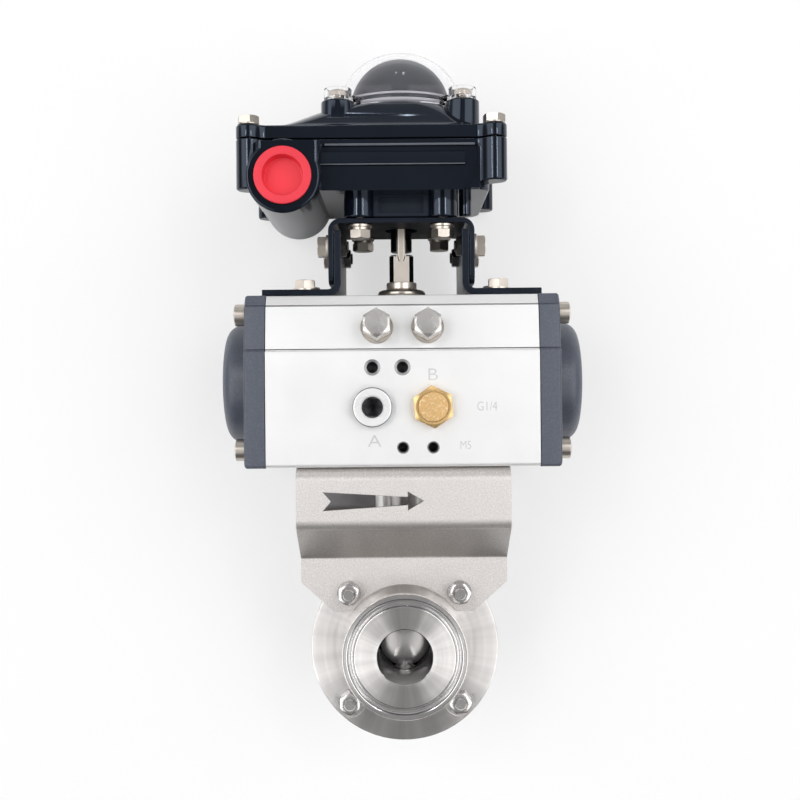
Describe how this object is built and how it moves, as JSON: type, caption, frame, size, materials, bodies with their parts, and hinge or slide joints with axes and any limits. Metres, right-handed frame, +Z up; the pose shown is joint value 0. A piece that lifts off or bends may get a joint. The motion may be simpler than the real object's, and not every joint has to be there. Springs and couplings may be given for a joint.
{
  "type": "pneumatic sanitary butterfly valve",
  "caption": "Stainless sanitary clamp butterfly valve with a rack-and-pinion pneumatic actuator and a black limit switch box with a domed position indicator.",
  "frame": {"origin": "centre of the valve bore on the stem axis, which the pipe's clamps hold", "axes": "+Z up the stem towards the switch box, -Y out of the front ferrule and the actuator's port side, +X the actuator's right end"},
  "size_m": [0.1476, 0.0845, 0.29],
  "materials": {
    "turned_steel": "satin",
    "polished_steel": "polished",
    "blasted_steel": "matte",
    "screw_steel": "satin",
    "aluminium": "satin",
    "cap_paint": "satin",
    "bracket_paint": "satin",
    "box_paint": "gloss",
    "rubber": "matte",
    "bearing_plastic": "matte",
    "brass": "satin",
    "red_plastic": "matte",
    "indicator_plastic": "satin",
    "switch_plastic": "matte",
    "clear_dome": "polished",
    "spring_steel": "satin"
  },
  "bodies": {
    "housing": {"valve_body_front": "turned_steel", "valve_body_rear": "turned_steel", "valve_bracket": "blasted_steel", "flange_bolt_upper_left": "screw_steel", "flange_bolt_upper_right": "screw_steel", "flange_bolt_lower_left": "screw_steel", "flange_bolt_lower_right": "screw_steel", "stop_bolt_left": "screw_steel", "stop_bolt_right": "screw_steel", "stop_washer_left": "screw_steel", "stop_washer_right": "screw_steel", "port_plug_a": "screw_steel", "box_bolt_left_front": "screw_steel", "cover_screw_left_front": "screw_steel", "cap_screw_left_front_upper": "screw_steel", "cap_screw_left_front_lower": "screw_steel", "box_bolt_left_rear": "screw_steel", "cover_screw_left_rear": "screw_steel", "cap_screw_left_rear_upper": "screw_steel", "cap_screw_left_rear_lower": "screw_steel", "box_bolt_right_front": "screw_steel", "cover_screw_right_front": "screw_steel", "cap_screw_right_front_upper": "screw_steel", "cap_screw_right_front_lower": "screw_steel", "box_bolt_right_rear": "screw_steel", "cover_screw_right_rear": "screw_steel", "cap_screw_right_rear_upper": "screw_steel", "cap_screw_right_rear_lower": "screw_steel", "actuator_body": "aluminium", "end_cap_left": "cap_paint", "end_cap_right": "cap_paint", "top_bracket": "bracket_paint", "foot_left": "bracket_paint", "foot_right": "bracket_paint", "switch_base": "box_paint", "switch_cover": "box_paint", "seat_ring": "rubber", "cover_gasket": "rubber", "stem_bush_upper": "bearing_plastic", "stem_bush_lower": "bearing_plastic", "pinion_bearing_lower": "bearing_plastic", "pinion_bearing_upper": "bearing_plastic", "silencer_b": "brass", "conduit_plug": "red_plastic", "micro_switch_lower": "switch_plastic", "micro_switch_upper": "switch_plastic", "dome_cover": "clear_dome", "spring_left": "spring_steel", "spring_right": "spring_steel"},
    "rotor": {"disc_and_stem": "polished_steel", "drive_coupling": "turned_steel", "pinion": "screw_steel", "thrust_washer": "screw_steel", "switch_shaft": "screw_steel", "cam_lower": "red_plastic", "cam_upper": "red_plastic", "indicator": "indicator_plastic"},
    "piston_left": {"piston_left": "aluminium"},
    "piston_right": {"piston_right": "aluminium"}
  },
  "joints": [
    {"name": "stem_turn", "type": "hinge", "parent": "housing", "child": "rotor", "pos_m": [0, 0, 0], "axis": [0, 0, 1], "range_deg": [0, 90], "stiffness_Nm_per_rad": 2, "springref_deg": -85.94},
    {"name": "piston_right_slide", "type": "slide", "parent": "housing", "child": "piston_right", "axis": [1, 0, 0], "range_m": [0, 0.0142], "deforming": ["spring_right"]},
    {"name": "piston_left_slide", "type": "slide", "parent": "housing", "child": "piston_left", "axis": [-1, 0, 0], "range_m": [0, 0.0142], "deforming": ["spring_left"]}
  ],
  "couplings": [
    {"joint": "piston_right_slide", "follows": "stem_turn", "m_per_rad": 0.009},
    {"joint": "piston_left_slide", "follows": "stem_turn", "m_per_rad": 0.009}
  ]
}
